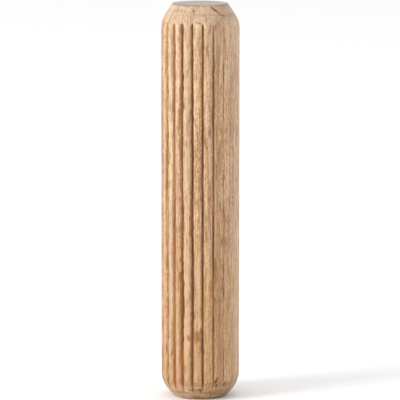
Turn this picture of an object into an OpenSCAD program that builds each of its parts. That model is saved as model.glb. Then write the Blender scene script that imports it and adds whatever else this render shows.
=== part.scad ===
// Fluted wooden dowel pin: a beech rod pressed through a fluting die,
// cut to length and tapered at both ends. It stands on its lower end face,
// with its axis on Z and the front of the pin towards -Y.

/* [Rod] */
// Diameter over the lands between the flutes
rod_d = 8; // [6:0.5:16]
// Length from end face to end face
rod_l = 40; // [25:1:80]

/* [Upper end] */
// How much the upper end narrows on every side
upper_taper_in = 1.2; // [0.6:0.05:2]
// Length of the upper taper
upper_taper_l = 1.8; // [1:0.1:4]
// Radius that eases the upper taper into the rod
upper_shoulder_r = 3; // [0.4:0.1:4]

/* [Lower end] */
// How much the lower end narrows on every side
lower_taper_in = 1.3; // [0.6:0.05:2]
// Length of the lower taper
lower_taper_l = 1.45; // [1:0.05:4]
// Radius that eases the lower taper into the rod
lower_shoulder_r = 3; // [0.4:0.1:4]

/* [Flutes] */
// Number of teeth in the fluting die
flute_count = 23; // [16:1:28]
// Depth of a flute where the die bites fully
flute_depth = 0.45; // [0.25:0.05:0.6]
// Radius of the root of a flute
flute_root_r = 0.09; // [0.05:0.01:0.14]
// Angle between a flank of a flute and the flute's middle
flank_angle = 18; // [10:1:25]
// Where the first flute stands, counted from the front of the pin
first_flute = 4; // [-8:0.5:8]

/* [Off-centre die] */
// Depth that the die's teeth would reach all round if the rod ran true
bite_mean = 0.34; // [0.3:0.01:0.6]
// How far the rod ran out of the die's centre
bite_offset = 0.51; // [0:0.01:0.6]
// Direction of the deepest bite, counted from the front of the pin
deep_side = -80; // [-180:5:180]
// A bite shallower than this springs back and leaves no flute
least_bite = 0.04; // [0.03:0.01:0.1]

/* [Hidden] */

$fn = 96;
rod_r = rod_d / 2;
front = -90; // the front of the pin, as an angle from +X
over = 1; // how far a cutter runs past what it cuts
arc_cross = 0.002; // how far a shoulder's arc reaches past the lines it eases
flute_pitch = 360 / flute_count;

// Depth of the flute at an angle from the front: the die's bite there,
// which the die's bore stops at the full depth
function bite(angle) =
    bite_mean + bite_offset * cos(angle - deep_side);
function depth_at(angle) =
    min(flute_depth, max(0, bite(angle)));

// Half of the rod's lengthwise section above its middle: straight side,
// taper and end face, with an arc easing the corner between side and taper.
// The arc reaches a hair past both lines, so it crosses them and leaves no sliver
module end_section(taper_in, taper_l, shoulder_r) {
    taper_angle = atan(taper_in / taper_l);
    corner = [rod_r, rod_l / 2 - taper_l];
    to_lines = shoulder_r - arc_cross;
    arc_centre = corner - to_lines * [1, tan(taper_angle / 2)];
    past_lines = to_lines + over;
    difference() {
        polygon([
            [0, 0],
            [rod_r, 0],
            corner,
            [rod_r - taper_in, rod_l / 2],
            [0, rod_l / 2],
        ]);
        difference() {
            polygon([
                arc_centre,
                arc_centre + past_lines * [1, 0],
                corner + [over, over],
                arc_centre + past_lines * [cos(taper_angle), sin(taper_angle)],
            ]);
            translate(arc_centre) circle(r = shoulder_r);
        }
    }
}

// The tapered rod before fluting, standing on its lower end
module blank() {
    translate([0, 0, rod_l / 2])
        rotate_extrude() {
            end_section(upper_taper_in, upper_taper_l, upper_shoulder_r);
            mirror([0, 1])
                end_section(lower_taper_in, lower_taper_l, lower_shoulder_r);
        }
}

// Section of one of the die's teeth, with its tip at the origin and its
// flanks spreading along +X: a round tip and two straight flanks
module tooth_section() {
    reach = flute_depth + over;
    tip_x = flute_root_r * (1 - sin(flank_angle));
    tip_y = flute_root_r * cos(flank_angle);
    back_y = tip_y + (reach - tip_x) * tan(flank_angle);
    translate([flute_root_r, 0]) circle(r = flute_root_r);
    polygon([
        [tip_x, -tip_y],
        [reach, -back_y],
        [reach, back_y],
        [tip_x, tip_y],
    ]);
}

// One flute's cutter, at an angle from the front and as deep as the bite there
module flute(angle) {
    rotate([0, 0, front + angle])
        translate([rod_r - depth_at(angle), 0, -over])
            linear_extrude(height = rod_l + 2 * over)
                tooth_section();
}

module dowel() {
    color("burlywood")
        difference() {
            blank();
            for (i = [0 : flute_count - 1]) {
                angle = first_flute + i * flute_pitch;
                if (bite(angle) >= least_bite) flute(angle);
            }
        }
}

dowel();
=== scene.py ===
import bpy
import numpy as np
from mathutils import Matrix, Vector


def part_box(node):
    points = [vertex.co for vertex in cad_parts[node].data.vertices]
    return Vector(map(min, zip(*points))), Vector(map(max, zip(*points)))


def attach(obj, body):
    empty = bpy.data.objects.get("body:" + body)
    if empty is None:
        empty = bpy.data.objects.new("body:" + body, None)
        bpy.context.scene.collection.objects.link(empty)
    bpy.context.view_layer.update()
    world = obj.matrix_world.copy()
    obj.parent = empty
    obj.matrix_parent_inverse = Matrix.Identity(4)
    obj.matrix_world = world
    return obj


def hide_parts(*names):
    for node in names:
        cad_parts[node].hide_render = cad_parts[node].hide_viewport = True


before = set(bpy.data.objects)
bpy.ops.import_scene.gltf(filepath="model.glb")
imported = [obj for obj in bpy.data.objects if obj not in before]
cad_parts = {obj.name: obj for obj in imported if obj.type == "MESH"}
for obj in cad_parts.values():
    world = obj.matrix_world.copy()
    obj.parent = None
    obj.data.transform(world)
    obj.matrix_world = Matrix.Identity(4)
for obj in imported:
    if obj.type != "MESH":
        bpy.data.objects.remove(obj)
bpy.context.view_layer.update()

# ---------------------------------------------------------------------------
# The pin is one piece of beech: a turned rod pressed through a fluting die,
# sawn to length and tapered at both ends. The rod ran off the die's centre,
# so the flutes are deep on one side, fade, and leave a plain strip on the other.
# ---------------------------------------------------------------------------
# Sizes are in metres, and angles count from the front (-Y) towards +X
MM = 0.001
low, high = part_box("dowel")
rod_r = min(high.x, high.y, -low.x, -low.y)
rod_l = high.z - low.z

lower_taper = (1.3 * MM, 1.45 * MM)     # how much it narrows, and its length
upper_taper = (1.2 * MM, 1.8 * MM)
shoulder_r = 3.0 * MM                   # radius between a taper and the side
upper_rim_r = 0.25 * MM                 # wear on the rim of each end face
lower_rim_r = 0.10 * MM

flute_count = 23
flute_depth = 0.45 * MM
flute_root_r = 0.09 * MM
flank_angle = np.radians(18)
first_flute = np.radians(4)
bite_mean = 0.34 * MM
bite_offset = 0.51 * MM
deep_side = np.radians(-80)
least_bite = 0.04 * MM
pitch = 2 * np.pi / flute_count

# Damage, each from one place to another: turn in degrees and height in mm,
# the same for the other end, and width in mm
cuts = [
    (22.0, 39.80, 30.0, 39.46, 0.20),   # a crack across the upper taper
    (30.0, 39.46, 41.5, 38.90, 0.12),
    (-34.0, 39.90, -33.0, 39.85, 0.14),
    (-12.0, 39.50, -11.0, 39.42, 0.13),
    (-1.5, 38.32, 0.0, 38.28, 0.16),
    (54.0, 23.30, 54.5, 19.50, 0.10),   # hairlines in the plain strip
    (38.5, 19.40, 39.0, 18.30, 0.16),
    (48.0, 12.80, 48.0, 10.20, 0.10),
    (25.4, 2.34, 23.6, 1.96, 0.36),     # a gash and pits near the lower end
    (25.6, 1.60, 26.2, 1.56, 0.30),
    (40.0, 1.80, 38.4, 1.56, 0.24),
    (0.0, 1.20, 1.5, 0.85, 0.30),
    (21.0, 0.20, 26.0, 0.22, 0.26),
]
stains = [
    (-4.4, 6.90, -4.0, 6.52, 0.78),     # orange spots low on the front
    (-17.2, 6.66, -16.6, 6.44, 0.42),
]
rubbed = [
    (-41.5, 3.50, -41.5, 2.10, 1.50),   # flute bottoms rubbed orange
    (-27.3, 4.80, -27.3, 3.00, 1.50),
]
chips = [
    (-18.0, 6.15, -19.0, 6.05, 0.30),   # small places where paler wood shows
    (-26.5, 1.50, -26.5, 1.20, 0.30),
    (-26.5, 1.20, -21.5, 0.94, 0.30),
    (-3.5, 38.20, -4.0, 37.95, 0.30),
    (8.0, 38.15, 8.5, 37.95, 0.30),
]
lifted = [
    (31.0, 39.75, 40.0, 39.40, 1.10),   # wood that rose beside the crack
    (-35.0, 1.80, -33.5, 1.60, 0.60),
]
# Teeth of the die that stand off their place, and by how many mm
strayed = {19: 0.08, 20: 0.08, 21: -0.035, 1: 0.04, 2: 0.11}

columns_per_flute = 18
column_crowding = 0.5       # how much closer the columns stand in a flute
columns = flute_count * columns_per_flute
face_rows, rim_rows, taper_rows = 6, 4, 8       # rows of points, on each half of the pin
shoulder_rows, side_rows = 16, 86
raster = (1024, 1600)       # cells of random wear, round the rod and along it
turn_cell = 2 * np.pi * rod_r / raster[0]
length_cell = rod_l / raster[1]


def end_section(taper_in, taper_l, rim_r):
    """Radius and height above its end face for half of the rod's section, from
    the middle of the face outwards: along the face at steps of equal area, round
    its worn rim, up the taper, round the shoulder on an arc tangent to taper and
    side, and up the side to mid-length."""
    tilt = np.arctan2(taper_in, taper_l)
    rim_run = rim_r * np.tan((np.pi / 2 - tilt) / 2)
    rim_turn = np.linspace(0, np.pi / 2 - tilt, rim_rows)
    rim = np.stack([rod_r - taper_in - rim_run + rim_r * np.sin(rim_turn),
                    rim_r * (1 - np.cos(rim_turn))])
    face_share = np.linspace(0, 1, face_rows + 2)[1:-1]
    face = np.stack([rim[0, 0] * np.sqrt(face_share), np.zeros(face_rows)])
    shoulder_top = taper_l + shoulder_r * np.tan(tilt / 2)
    shoulder_turn = np.linspace(tilt, 0, shoulder_rows)
    shoulder = np.stack([rod_r - shoulder_r * (1 - np.cos(shoulder_turn)),
                         shoulder_top - shoulder_r * np.sin(shoulder_turn)])
    taper = np.linspace(rim[:, -1], shoulder[:, 0], taper_rows + 2)[1:-1].T
    side_height = np.linspace(shoulder_top, rod_l / 2, side_rows + 1)[1:]
    side = np.stack([np.full(side_height.shape, rod_r), side_height])
    return np.concatenate([face, rim, taper, shoulder, side], axis=1)


def whole_section():
    """Radius and height from the middle of the lower end face to the middle of
    the upper one: both ends' sections, with the row at mid-length once."""
    lower = end_section(*lower_taper, lower_rim_r)
    upper = end_section(*upper_taper, upper_rim_r)[:, -2::-1]
    return np.concatenate([lower[0], upper[0]]), np.concatenate([lower[1], rod_l - upper[1]])


def random_field(seed, shape, blur):
    """Random numbers on a raster, blurred along both axes by a Gaussian of the
    given widths in cells, with mean 0 and deviation 1. Blurring multiplies the
    spectrum by the Gaussian's own, so opposite edges of the raster join up."""
    spectrum = np.fft.rfft2(np.random.default_rng(seed).standard_normal(shape))
    down = np.fft.fftfreq(shape[0])[:, None] * blur[0]
    over = np.fft.rfftfreq(shape[1])[None, :] * blur[1]
    spectrum *= np.exp(-2 * np.pi ** 2 * (down ** 2 + over ** 2))
    field = np.fft.irfft2(spectrum, s=shape)
    return (field - field.mean()) / field.std()


def wear(seed, across, along):
    """A random field over the rod's side at every grid point, smooth over the
    given distances across and along the grain: the raster's four nearest cells
    are mixed by how near they are."""
    field = random_field(seed, raster, (across / turn_cell, along / length_cell))
    at = angle / (2 * np.pi) * raster[0]
    cell = np.floor(at).astype(int)
    share = (at - cell)[:, None]
    field = field[cell % raster[0]] * (1 - share) + field[(cell + 1) % raster[0]] * share
    at = height / rod_l * (raster[1] - 1)
    cell = np.minimum(np.floor(at).astype(int), raster[1] - 2)
    share = at - cell
    return field[:, cell] * (1 - share) + field[:, cell + 1] * share


def along_flutes(seed, along):
    """One random line for each flute, smooth over the given distance along the
    rod, read at every grid point from the flute that is nearest to it."""
    lines = random_field(seed, (flute_count, raster[1]), (0, along / length_cell))
    cell = np.round(height / rod_l * (raster[1] - 1)).astype(int)
    return lines[nearest_flute][:, cell]


def tooth(across):
    """Height of a die tooth's surface above its tip, at a distance across it:
    a round tip, then straight flanks that touch the circle of the tip."""
    touch = flute_root_r * np.cos(flank_angle)
    tip = flute_root_r - np.sqrt(np.maximum(flute_root_r ** 2 - across ** 2, 0))
    flank = flute_root_r * (1 - np.sin(flank_angle)) + (across - touch) / np.tan(flank_angle)
    return np.where(across < touch, tip, flank)


def soft_min(a, b, reach):
    """The smaller of two heights, with the corner between them rounded wherever
    they are less than the reach apart: a parabola touches both there."""
    near = np.maximum(1 - np.abs(a - b) / reach, 0)
    return np.minimum(a, b) - reach / 4 * near ** 2


def on_rod(turn_deg, up):
    """The point of the unfluted rod's side at a turn from the front, in degrees,
    and a height, in metres."""
    r = np.interp(up, height, radius)
    turn = np.radians(turn_deg)
    return np.array([r * np.sin(turn), -r * np.cos(turn), up])


def off_line(places, start, end):
    """Distance from each place to the nearest point of a straight line's run
    between its start and its end."""
    run = end - start
    share = np.clip((places - start) @ run / (run @ run), 0, 1)
    return np.linalg.norm(places - start - share[..., None] * run, axis=-1)


# The columns are evenly spaced but for a sine that crowds them into the flutes
even = np.arange(columns) / columns * 2 * np.pi
angle = even - column_crowding / flute_count * np.sin(flute_count * even) + first_flute
radius, height = whole_section()
nearest_flute = np.round((angle - first_flute) / pitch).astype(int)
off_flute = angle - first_flute - nearest_flute * pitch
nearest_flute = nearest_flute % flute_count

# How deep the die bit at each flute, how much that wanders along it, and how far
# the flute sways from its place, most of all where the bite is shallow
bite_wander = 0.08          # as a share of the bite
floor_ripple = 0.012 * MM
sway = 0.011 * MM
shallow_sway = 0.03 * MM
shallow_bite = 0.2 * MM
push = bite_mean + bite_offset * np.cos(first_flute + nearest_flute * pitch - deep_side)
bite = np.where(push < least_bite, 0, np.clip(push, 0, flute_depth))[:, None]
depth = bite * (1 + bite_wander * along_flutes(11, along=3.0 * MM))
depth = depth + floor_ripple * wear(17, across=0.06 * MM, along=0.5 * MM)
tooth_off = np.array([strayed.get(tooth_number, 0.0) for tooth_number in range(flute_count)]) * MM
shallow = np.clip(1 - bite / shallow_bite, 0, 1)
across = off_flute[:, None] * rod_r - tooth_off[nearest_flute][:, None]
across = across + (sway + shallow_sway * shallow) * along_flutes(12, along=2.0 * MM)


def flank_width(even, climbed, wander, tear, tear_from, seeds):
    """Width of the flanks on one side as a share of the tooth's own: more where
    the rod climbed, wandering slowly along the flute, and torn wider in short
    places, as far as a quick random line is above the value it tears from."""
    slow = along_flutes(seeds[0], along=0.9 * MM)
    quick = along_flutes(seeds[1], along=0.22 * MM)
    return even + climbed * climb + wander * slow + tear * np.maximum(quick - tear_from, 0)


# The rod climbed the teeth where it was pushed hard, so the flank on a flute's
# left is the gentler one, and the fibres tore unevenly along both edges
climb_from, climb_full = 0.5 * MM, 0.8 * MM
least_width, most_width = 0.6, 2.0
climb = np.clip((push - climb_from) / (climb_full - climb_from), 0, 1)[:, None]
left_width = flank_width(even=1.02, climbed=0.30, wander=0.09, tear=0.40, tear_from=0.4, seeds=(13, 14))
right_width = flank_width(even=0.85, climbed=0.15, wander=0.08, tear=0.34, tear_from=0.5, seeds=(15, 16))
width = np.clip(np.where(across < 0, left_width, right_width), least_width, most_width)
flank = tooth(np.abs(across) / width)

# Dirt and painted shade lie in the bottom of the flutes, but little of it on the lamp's side,
# where the rod was pushed right against the die's bore and light falls into the flutes,
# and in patches in the shallow ones
lit_from, lit_full = 0.6 * MM, 0.85 * MM
dirt_and_shade_reach = 0.060 * MM
shallow_dirt_and_shade_reach = 0.10 * MM
full_dirt_and_shade_bite = 0.35 * MM
lit_flutes = np.clip((push - lit_from) / (lit_full - lit_from), 0, 1)[:, None]
dirt_and_shade = np.exp(-(across / (dirt_and_shade_reach + shallow_dirt_and_shade_reach * shallow)) ** 2) * (1 + 5.0 * shallow)
dirt_and_shade = dirt_and_shade * np.clip(0.6 + 0.45 * along_flutes(51, along=0.6 * MM), 0, 1)
dirt_and_shade = dirt_and_shade * np.clip(bite / full_dirt_and_shade_bite, 0, 1) * (1 - 0.8 * lit_flutes)
dirt_and_shade = dirt_and_shade * (1 - shallow * np.clip(0.4 - 0.7 * along_flutes(52, along=2.0 * MM), 0, 1))

# The end cutters pushed the fibres in and closed the ends of the flutes, at
# the start of the upper shoulder and further round the lower one. A flute is
# gone where the section has dropped as far as close, and starts to go fade before
upper_close, lower_close = 0.17 * MM, 0.47 * MM
upper_fade, lower_fade = 0.08 * MM, 0.17 * MM
close_wander = 0.15
shoulder_depth = 0.45       # least depth round a shoulder, as a share of the flute's
drop = (rod_r - radius)[None, :]
upper_half = height > rod_l / 2
closed_at = np.where(upper_half, upper_close, lower_close)
closed_at = closed_at * (1 + close_wander * along_flutes(18, along=20 * MM))
kept = np.clip((closed_at - drop) / np.where(upper_half, upper_fade, lower_fade), 0, 1)
tooth_floor = rod_r - depth * kept + flank
tooth_floor = np.minimum(tooth_floor, radius[None, :] - shoulder_depth * depth * kept + flank)
tooth_floor = np.where(bite > 0, tooth_floor, 2 * rod_r)

# The end cutters scored the tapers in rings, the lower one much more
rings = wear(41, across=1.0 * MM, along=0.09 * MM)
rings = rings + 0.7 * wear(42, across=0.35 * MM, along=0.06 * MM)
lower_end = np.clip(1.25 - height / (2.0 * MM), 0, 1)
upper_end = np.clip((height - rod_l) / (1.6 * MM) + 1, 0, 1)

# The lands between deep flutes are crowned, because the die squeezes them, and
# their fibres are torn here and there, most of all beside a flute
crown_share = 0.36          # of the bite
crown_round = 0.08 * MM     # where the crowns meet the shoulders
edge_round = 0.06 * MM      # where a flute meets a land
fibre_wear = 0.012 * MM
wavy_wear = 0.010 * MM
tear_depth = 0.040 * MM
ring_depth = 0.018 * MM
off_land = np.abs(across) / (pitch * rod_r / 2)
beside = np.exp(-((off_land - 0.45) / 0.25) ** 2) * np.clip(bite / flute_depth, 0.25, 1)
crown = crown_share * bite * np.clip(1 - off_land, 0, 1) ** 2
torn = np.maximum(wear(23, across=0.06 * MM, along=0.30 * MM) - 1.3 + 0.6 * beside, 0)
side = soft_min(radius[None, :], rod_r - crown, crown_round)
side = side - fibre_wear * np.abs(wear(21, across=0.08 * MM, along=1.2 * MM))
side = side - wavy_wear * np.abs(wear(22, across=0.9 * MM, along=6.0 * MM))
side = side - tear_depth * torn
side = side - ring_depth * np.clip(rings, 0, 2) * (lower_end + 0.35 * upper_end)
surface = soft_min(side, tooth_floor, edge_round)


def place_round(r):
    """The points at a radius, for every column's angle and every row's height."""
    r = np.broadcast_to(r, surface.shape)
    return np.stack([r * np.sin(angle)[:, None],
                     -r * np.cos(angle)[:, None],
                     np.broadcast_to(height, surface.shape)], axis=-1)


# Each cut is a groove with a section like a parabola
cut_depth = 0.22            # as a share of its width
cut_reach = 0.6             # half of the groove's width, as a share of the cut's
unfluted = place_round(radius)
for from_turn, from_up, to_turn, to_up, cut_width in cuts:
    off = off_line(unfluted, on_rod(from_turn, from_up * MM), on_rod(to_turn, to_up * MM))
    groove = np.maximum(1 - (off / (cut_reach * cut_width * MM)) ** 2, 0)
    surface = surface - cut_depth * cut_width * MM * groove

# All that wear moves the points inwards, so it fades out over the outer part of
# each end face and leaves the middle as it is
face_r = rod_r - max(lower_taper[0], upper_taper[0])
middle_share = 0.6
on_side = np.clip((radius / face_r - middle_share) / (1 - middle_share), 0, 1)[None, :]
surface = radius[None, :] + (surface - radius[None, :]) * on_side
points = place_round(surface)
# How deep each point lies in a flute, less on the lamp's side where light falls in: the mask of the flutes'
# painted shade and pressed wood
pressed = np.clip((side - surface) / flute_depth, 0, 1) * (1 - 0.58 * lit_flutes)

# How far the cut runs across the grain: all of it on the end faces, and a
# little on the tapers
rise_per_row = np.gradient(radius) / np.hypot(np.gradient(radius), np.gradient(height))
end_cut = np.broadcast_to(np.abs(rise_per_row)[None, :] ** 6, surface.shape)

# Where the rings show over painted shade that darkens the whole lower end, and where the saw bruised the
# rims
bruise_reach = 0.13 * MM
to_rim = np.minimum(np.hypot(radius - (rod_r - upper_taper[0]), height - rod_l),
                    np.hypot(radius - (rod_r - lower_taper[0]), height))
scored_and_shade = np.clip(0.60 + 0.45 * rings, 0, 1) * lower_end
scored_and_shade = (scored_and_shade + np.clip(0.22 * rings - 0.1, 0, 1) * upper_end) * on_side
bruised = np.clip(0.8 + 0.25 * wear(43, across=0.8 * MM, along=4 * MM), 0, 1)
bruised = bruised * np.exp(-(to_rim / bruise_reach) ** 2)


def band(middle_deg, reach_deg):
    """How near each column is to the middle of a soft band along the pin: a
    Gaussian of the turn between them."""
    off = (angle - np.radians(middle_deg) + np.pi) % (2 * np.pi) - np.pi
    return np.exp(-(off / np.radians(reach_deg)) ** 2)[:, None]


# Each land has a paleness of its own, most of it left of the front. The plain
# strip and the top are paler too, and so is the freshly cut upper taper
palest_land = flute_count - 2
most_tint = 0.6
land = np.floor((angle - first_flute) / pitch).astype(int) % flute_count
pale_land = np.where(land == palest_land, 0.35, 0.0)[:, None]
tapered = np.clip((rod_r - radius) / (0.5 * MM), 0, 1)[None, :]
fresh = tapered * upper_half * (0.60 + 0.10 * wear(34, across=0.5 * MM, along=0.3 * MM))
strip_tint = band(55, 13) * (0.04 + 0.42 * height / rod_l)
top_tint = 0.20 * np.clip((height - 35.0 * MM) / (3.0 * MM), 0, 1)
top_tint = top_tint + 0.26 * band(16, 14) * np.clip((height - 32.0 * MM) / (2.0 * MM), 0, 1)
land_tint = pale_land + strip_tint + top_tint + 0.08 + 0.06 * along_flutes(31, along=6.0 * MM)
land_tint = land_tint + 0.06 * wear(32, across=0.3 * MM, along=3.0 * MM)
land_tint = np.clip(land_tint, 0, most_tint) * (1 - tapered)

# A browner band runs beside the plain strip and gives out towards the top
brown_band = band(21.5, 6) * np.clip((36.5 * MM - height) / (14 * MM), 0, 1) * (1 - tapered)
brown_band = brown_band * np.clip(0.6 + 0.5 * wear(33, across=0.4 * MM, along=2.5 * MM), 0, 1)


def closed_mesh(name, points, middles):
    """A mesh from a grid of points that closes round its first axis. Each cell
    is a four-sided face, and fans of triangles join the first and last rows to
    their middle points. All faces point outwards."""
    turns, rows = points.shape[:2]
    index = np.arange(turns * rows).reshape(turns, rows)
    after = np.roll(index, -1, axis=0)
    cells = np.stack([index[:, :-1], after[:, :-1], after[:, 1:], index[:, 1:]], axis=-1)
    first, last = np.full(turns, turns * rows), np.full(turns, turns * rows + 1)
    fans = [np.stack([first, after[:, 0], index[:, 0]], axis=-1),
            np.stack([index[:, -1], after[:, -1], last], axis=-1)]
    vertices = np.concatenate([points.reshape(-1, 3), middles])
    mesh = bpy.data.meshes.new(name)
    mesh.from_pydata(vertices, [], cells.reshape(-1, 4).tolist() + np.concatenate(fans).tolist())
    mesh.shade_smooth()
    mesh.validate()
    return mesh


def give_points(mesh, name, values, middles=0.0):
    """Stores one value for each point of the grid, and one for both middles."""
    layer = mesh.attributes.new(name, "FLOAT", "POINT")
    values = np.broadcast_to(values, points.shape[:2])
    layer.data.foreach_set("value", np.append(values.ravel(), [middles, middles]).astype(np.float32))


pin_mesh = closed_mesh("pin", points, np.array([[0, 0, 0], [0, 0, rod_l]]))
give_points(pin_mesh, "pressed", pressed)
give_points(pin_mesh, "end_cut", end_cut, middles=1.0)
give_points(pin_mesh, "land_tint", land_tint)
give_points(pin_mesh, "fresh", np.clip(fresh, 0, 1))
give_points(pin_mesh, "brown_band", brown_band)
give_points(pin_mesh, "scored_and_shade", scored_and_shade)
give_points(pin_mesh, "bruised", bruised)
give_points(pin_mesh, "dirt_and_shade", dirt_and_shade * (pressed > 0.05))
give_points(pin_mesh, "torn", np.clip(torn, 0, 1) * on_side)
pin = bpy.data.objects.new("fluted_pin", pin_mesh)
bpy.context.collection.objects.link(pin)


def add(tree, kind, values=(), **settings):
    """A new shader node. The settings go to its properties, and each value goes
    to the input of that name or number, as a link if it is a node's output."""
    node = tree.nodes.new(kind)
    for name, setting in settings.items():
        setattr(node, name, setting)
    for socket, value in dict(values).items():
        if isinstance(value, bpy.types.NodeSocket):
            tree.links.new(value, node.inputs[socket])
        else:
            node.inputs[socket].default_value = value
    return node


def calc(tree, operation, a, b=0.0, c=0.0):
    """One step of arithmetic on values."""
    return add(tree, "ShaderNodeMath", {0: a, 1: b, 2: c}, operation=operation).outputs[0]


def vector_calc(tree, operation, a, b=(0.0, 0.0, 0.0)):
    """One step of arithmetic on vectors that gives a vector."""
    return add(tree, "ShaderNodeVectorMath", {0: a, 1: b}, operation=operation).outputs[0]


def dot(tree, a, b):
    """The product of two vectors' lengths and the cosine between them."""
    return add(tree, "ShaderNodeVectorMath", {0: a, 1: b}, operation="DOT_PRODUCT").outputs["Value"]


def blend(tree, share, a, b):
    """Colour a going over to colour b by a share."""
    node = add(tree, "ShaderNodeMix", {"Factor": share}, data_type="RGBA")
    for socket, value in ((node.inputs[6], a), (node.inputs[7], b)):
        if isinstance(value, bpy.types.NodeSocket):
            tree.links.new(value, socket)
        else:
            socket.default_value = (*value, 1)
    return node.outputs[2]


def rise(tree, value, start, end, low=0.0, high=1.0):
    """A smooth step from low to high as a value goes from start to end."""
    node = add(tree, "ShaderNodeMapRange", {0: value, 1: start, 2: end, 3: low, 4: high},
               interpolation_type="SMOOTHSTEP")
    return node.outputs[0]


def new_group(name, inputs, output):
    """An empty node group with float or vector inputs, their first values, and
    one float output. Returns its tree, what it is given, and its result's socket."""
    tree = bpy.data.node_groups.new(name, "ShaderNodeTree")
    for socket_name, value in inputs.items():
        kind = "NodeSocketVector" if isinstance(value, tuple) else "NodeSocketFloat"
        socket = tree.interface.new_socket(name=socket_name, in_out="INPUT", socket_type=kind)
        socket.default_value = value
    tree.interface.new_socket(name=output, in_out="OUTPUT", socket_type="NodeSocketFloat")
    given = tree.nodes.new("NodeGroupInput").outputs
    result = tree.nodes.new("NodeGroupOutput").inputs[0]
    return tree, given, result


def put(tree, group, values):
    """A group put into a material, with its own values on the group's inputs."""
    node = tree.nodes.new("ShaderNodeGroup")
    node.node_tree = group
    for socket, value in values.items():
        if isinstance(value, bpy.types.NodeSocket):
            tree.links.new(value, node.inputs[socket])
        else:
            node.inputs[socket].default_value = value
    return node.outputs[0]


# Streaks: noise stretched along the grain, over the given millimetres
streaks, given, result = new_group("streaks", {"Wood": (0.0, 0.0, 0.0), "Across": 1.0, "Along": 8.0,
                                               "Detail": 2.0, "Shift": 0.0}, "Value")
stretch = add(streaks, "ShaderNodeCombineXYZ",
              {0: given["Across"], 1: given["Across"], 2: given["Along"]})
stretched = vector_calc(streaks, "DIVIDE", given["Wood"], stretch.outputs[0])
moved = vector_calc(streaks, "ADD", stretched, given["Shift"])
noise = add(streaks, "ShaderNodeTexNoise", {"Vector": moved, "Scale": 1.0, "Detail": given["Detail"],
                                            "Roughness": 0.6})
streaks.links.new(noise.outputs[0], result)

# Flecks: one soft oval in some of the cells of a stretched lattice
flecks, given, result = new_group("flecks", {"Wood": (0.0, 0.0, 0.0), "Cell": (1.0, 1.0, 1.0),
                                             "Share": 0.5, "Reach": 0.35}, "Mask")
lattice = vector_calc(flecks, "DIVIDE", given["Wood"], given["Cell"])
cells = add(flecks, "ShaderNodeTexVoronoi",
            {"Vector": lattice, "Scale": 1.0, "Randomness": 1.0}, feature="F1")
draw = add(flecks, "ShaderNodeSeparateColor", {0: cells.outputs["Color"]}).outputs[0]
chosen = calc(flecks, "LESS_THAN", draw, given["Share"])
oval = rise(flecks, cells.outputs["Distance"], given["Reach"], 0.0)
flecks.links.new(calc(flecks, "MULTIPLY", oval, chosen), result)

# Scar: full near a straight line along its run, and gone at 0.6 of its width
scar_reach = 0.6
scar, given, result = new_group("scar", {"Place": (0.0, 0.0, 0.0), "Start": (0.0, 0.0, 0.0),
                                         "Run": (0.0, 0.0, 1.0), "Width": 0.2, "Core": 0.4}, "Mask")
from_start = vector_calc(scar, "SUBTRACT", given["Place"], given["Start"])
run_share = calc(scar, "DIVIDE", dot(scar, from_start, given["Run"]), dot(scar, given["Run"], given["Run"]))
run_share = add(scar, "ShaderNodeClamp", {0: run_share}).outputs[0]
nearest = add(scar, "ShaderNodeVectorMath", {0: given["Run"], "Scale": run_share}, operation="SCALE")
from_nearest = vector_calc(scar, "SUBTRACT", from_start, nearest.outputs[0])
off = add(scar, "ShaderNodeVectorMath", {0: from_nearest}, operation="LENGTH").outputs["Value"]
off_in_widths = calc(scar, "DIVIDE", off, given["Width"])
core_reach = calc(scar, "MULTIPLY", given["Core"], scar_reach)
scar.links.new(rise(scar, off_in_widths, scar_reach, core_reach), result)

beech = bpy.data.materials.new("beech")
beech.use_nodes = True
wood = beech.node_tree
wood.nodes.clear()

# Wood coordinates in millimetres: X away from the pith, Z along a slightly
# leaning and wavering grain
grain_lean = np.radians(0.7)
pith_side = np.radians(35)
where = add(wood, "ShaderNodeTexCoord").outputs["Object"]
up_mm = calc(wood, "DIVIDE", add(wood, "ShaderNodeSeparateXYZ", {0: where}).outputs["Z"], MM)
place = vector_calc(wood, "DIVIDE", where, (MM, MM, MM))
turned = add(wood, "ShaderNodeMapping", {"Vector": place, "Rotation": (grain_lean, 0.0, pith_side)})


def shifted(start, scale, detail, reach):
    """Places in the wood moved at random, by up to about half the reach each way:
    a noise's colour, less its middle value, times the reach."""
    clouds = add(wood, "ShaderNodeTexNoise", {"Vector": start, "Scale": scale, "Detail": detail})
    offset = vector_calc(wood, "SUBTRACT", clouds.outputs["Color"], (0.5, 0.5, 0.5))
    return vector_calc(wood, "ADD", start, vector_calc(wood, "MULTIPLY", offset, reach))


grain = shifted(turned.outputs[0], scale=0.12, detail=1.0, reach=(0.5, 0.5, 0.0))
ragged = shifted(place, scale=3.5, detail=2.0, reach=(0.32, 0.32, 0.32))


def on_pin(name):
    """One of the values stored at the points of the pin's mesh."""
    return add(wood, "ShaderNodeAttribute", attribute_name=name).outputs["Fac"]


def scars(runs, core, widen=1.0):
    """The strongest of the scars on a list of runs, at every place of the wood.
    The core is the share of their width that is full, and widen a factor on it."""
    strongest = 0.0
    for from_turn, from_up, to_turn, to_up, scar_width in runs:
        start = on_rod(from_turn, from_up * MM) / MM
        run = on_rod(to_turn, to_up * MM) / MM - start
        one = put(wood, scar, {"Place": ragged, "Start": start, "Run": run,
                               "Width": scar_width * widen, "Core": core})
        strongest = calc(wood, "MAXIMUM", one, strongest)
    return strongest


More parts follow.
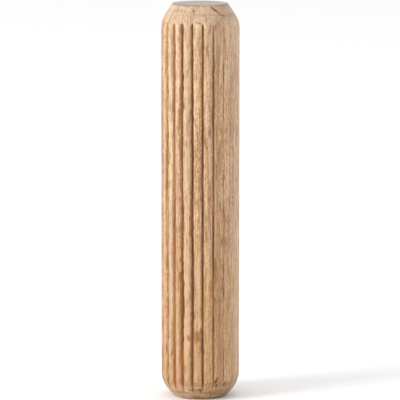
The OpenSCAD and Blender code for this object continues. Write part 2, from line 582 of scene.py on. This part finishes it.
# Annual rings: the wood darkens slowly outwards to a thin late-wood line
ring_width = 1.9
out_from_pith = add(wood, "ShaderNodeSeparateXYZ", {0: grain}).outputs[0]
in_ring = calc(wood, "FRACT", calc(wood, "DIVIDE", out_from_pith, ring_width))
late_wood = calc(wood, "MULTIPLY", calc(wood, "POWER", in_ring, 5.0), rise(wood, in_ring, 1.0, 0.93))


def streak(across, along, detail, shift):
    """The streaks group in the wood's grain. The shift sets it apart from the others."""
    return put(wood, streaks, {"Wood": grain, "Across": across, "Along": along,
                               "Detail": detail, "Shift": shift})


broad = streak(across=1.1, along=18.0, detail=1.0, shift=3.0)
fibre = streak(across=0.17, along=9.0, detail=2.0, shift=11.0)
mottle = streak(across=0.15, along=2.2, detail=2.0, shift=37.0)
speckle = streak(across=0.12, along=0.28, detail=1.0, shift=51.0)
hair = streak(across=0.08, along=1.4, detail=2.0, shift=23.0)
blush = streak(across=0.30, along=10.0, detail=2.0, shift=67.0)
rays = put(wood, flecks, {"Wood": grain, "Cell": (3.0, 0.20, 1.4), "Share": 0.40, "Reach": 0.40})
vessels = put(wood, flecks, {"Wood": grain, "Cell": (0.22, 0.22, 3.2), "Share": 0.55, "Reach": 0.34})

# Beech from brown to pale, each of them between a straw tone and a pink one
pale_straw, pale_pink = (0.700, 0.490, 0.248), (0.695, 0.428, 0.312)
brown_straw, brown_pink = (0.310, 0.140, 0.028), (0.306, 0.134, 0.045)
tone = 0.5
for pattern, weight in ((broad, 0.9), (fibre, 2.1), (mottle, 1.4), (speckle, 1.8), (hair, 1.8)):
    tone = calc(wood, "ADD", tone, calc(wood, "MULTIPLY_ADD", pattern, weight, -0.5 * weight))
pinkness = rise(wood, blush, 0.36, 0.64)
pale = blend(wood, pinkness, pale_straw, pale_pink)
brown = blend(wood, pinkness, brown_straw, brown_pink)
colour = blend(wood, rise(wood, tone, -0.12, 1.12), brown, pale)

# The speckle breaks up the flutes' burnish, dirt and painted shade, the burnish and
# painted shade turn orange where something rubbed them, and the end grain shows the rings and the vessels
burnish_and_shade = calc(wood, "MULTIPLY", on_pin("pressed"), calc(wood, "MULTIPLY_ADD", speckle, 2.6, -0.3))
flute_dirt_and_shade = calc(wood, "MULTIPLY", on_pin("dirt_and_shade"), calc(wood, "MULTIPLY_ADD", speckle, 3.0, -0.5))
rubbed_in = calc(wood, "MULTIPLY", scars(rubbed, 0.4), calc(wood, "MULTIPLY_ADD", burnish_and_shade, 1.3, 0.1))
end_cut = on_pin("end_cut")
end_face = calc(wood, "POWER", end_cut, 3.0)
end_rings = calc(wood, "MULTIPLY", end_face, calc(wood, "POWER", in_ring, 2.5))
end_pores = calc(wood, "MULTIPLY", end_face, vessels)
cut = scars(cuts, 0.45)

# The pin gets browner from this height downwards, in mm
brown_below = 28.0
lower_part = rise(wood, up_mm, brown_below, 0.0)

# What lies over the wood's own colour, from the grain out to the damage, with painted
# shade in the flutes and on the lower end among it: where it is, how much of the colour below it hides, and
# its colour
for mask, strength, layer in (
    (on_pin("land_tint"), 1.0, (0.66, 0.48, 0.31)),
    (on_pin("fresh"), 1.0, (0.585, 0.440, 0.310)),
    (lower_part, 0.42, (0.47, 0.24, 0.08)),
    (on_pin("brown_band"), 0.36, (0.42, 0.19, 0.07)),
    (late_wood, 0.50, (0.28, 0.14, 0.05)),
    (rays, 0.40, (0.26, 0.12, 0.045)),
    (vessels, 0.70, (0.20, 0.085, 0.03)),
    (on_pin("torn"), 0.60, (0.26, 0.12, 0.04)),
    (scars(lifted, 0.7), 0.50, (0.55, 0.27, 0.13)),
    (end_cut, 0.86, (0.250, 0.172, 0.130)),
    (end_rings, 0.45, (0.150, 0.090, 0.062)),
    (end_pores, 0.55, (0.100, 0.058, 0.040)),
    # painted shade over the lower end, with the scored rings in it
    (on_pin("scored_and_shade"), 0.90, (0.22, 0.098, 0.028)),
    (on_pin("bruised"), 0.85, (0.17, 0.110, 0.075)),
    # painted shade in the flutes, with pressed wood
    (rise(wood, burnish_and_shade, 0.06, 0.6), 0.85, (0.32, 0.110, 0.014)),
    # dirt and painted shade in the flute bottoms
    (flute_dirt_and_shade, 0.90, (0.100, 0.034, 0.009)),
    (rubbed_in, 1.0, (0.50, 0.19, 0.050)),
    (scars(stains, 0.0, widen=1.6), 0.50, (0.38, 0.18, 0.045)),
    (scars(stains, 0.0, widen=1.15), 0.95, (0.300, 0.098, 0.006)),
    (scars(chips, 0.1), 0.65, (0.70, 0.52, 0.37)),
    (cut, 0.90, (0.115, 0.038, 0.009)),
):
    colour = blend(wood, calc(wood, "MULTIPLY", mask, strength), colour, layer)

# Fibres, vessels and cuts sink in, and the speckle stands out a little
height_out = 0.0
for pattern, weight in ((fibre, -0.6), (hair, -0.5), (speckle, 0.4), (vessels, -0.8), (cut, -0.7)):
    height_out = calc(wood, "MULTIPLY_ADD", pattern, weight, height_out)
bump = add(wood, "ShaderNodeBump", {"Height": height_out, "Strength": 0.8, "Distance": 0.06 * MM})
rough = calc(wood, "MULTIPLY_ADD", hair, 0.25, 0.45)
rough = calc(wood, "MULTIPLY_ADD", cut, 0.4, rough)
shader = add(wood, "ShaderNodeBsdfPrincipled", {"Base Color": colour, "Roughness": rough, "IOR": 1.45,
                                                "Sheen Weight": 0.30, "Normal": bump.outputs[0]})
add(wood, "ShaderNodeOutputMaterial", {"Surface": shader.outputs[0]})
pin_mesh.materials.append(beech)

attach(pin, "root")
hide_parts("dowel")

# ---------------------------------------------------------------------------
# The stage isn't part of the pin: a wide plain floor, a white studio that is
# dimmer behind the camera, a large lamp on the left, and the camera, which looks
# slightly down at the pin through a long lens.
# ---------------------------------------------------------------------------
floor_half = 3.0
floor_mesh = bpy.data.meshes.new("floor")
floor_corners = [(x * floor_half, y * floor_half, 0) for x, y in ((-1, -1), (1, -1), (1, 1), (-1, 1))]
floor_mesh.from_pydata(floor_corners, [], [(0, 1, 2, 3)])
floor = bpy.data.objects.new("floor", floor_mesh)
bpy.context.collection.objects.link(floor)
floor_paint = bpy.data.materials.new("floor_paint")
floor_paint.use_nodes = True
floor_paint.node_tree.nodes["Principled BSDF"].inputs["Base Color"].default_value = (0.95, 0.95, 0.95, 1)
floor_paint.node_tree.nodes["Principled BSDF"].inputs["Roughness"].default_value = 0.9
floor_mesh.materials.append(floor_paint)

world = bpy.data.worlds.new("studio")
world.use_nodes = True
sky = world.node_tree
sky.nodes["Background"].inputs["Color"].default_value = (1, 1, 1, 1)
direction = add(sky, "ShaderNodeTexCoord").outputs["Generated"]
towards_back = add(sky, "ShaderNodeSeparateXYZ", {0: direction}).outputs["Y"]
brightness = rise(sky, towards_back, -1.0, -0.2, low=0.72, high=1.0)
sky.links.new(brightness, sky.nodes["Background"].inputs["Strength"])
bpy.context.scene.world = world
bpy.context.scene.view_settings.view_transform = "Standard"


def aim(thing, place, at):
    """Puts a lamp or camera at a place and turns it to look at a point."""
    thing.location = place
    thing.rotation_euler = (Vector(at) - Vector(place)).to_track_quat("-Z", "Y").to_euler()


middle = (0.0, 0.0, rod_l / 2)
lamp = bpy.data.lights.new("key", "AREA")
lamp.shape = "DISK"
lamp.size = 0.25
lamp.energy = 2.1
key = bpy.data.objects.new("key", lamp)
bpy.context.collection.objects.link(key)
key_place = (-0.46, -0.24, 0.24)
aim(key, key_place, middle)

camera_data = bpy.data.cameras.new("camera")
camera_data.lens = 296.4
camera_data.sensor_width = 36
camera_data.clip_start = 0.01
camera_data.shift_x = -0.0004
camera_data.shift_y = 0.0005
camera = bpy.data.objects.new("camera", camera_data)
bpy.context.collection.objects.link(camera)
elevation = np.radians(8.63)
away = 0.333
aim(camera, (0, -away * np.cos(elevation), rod_l / 2 + away * np.sin(elevation)), middle)
bpy.context.scene.camera = camera
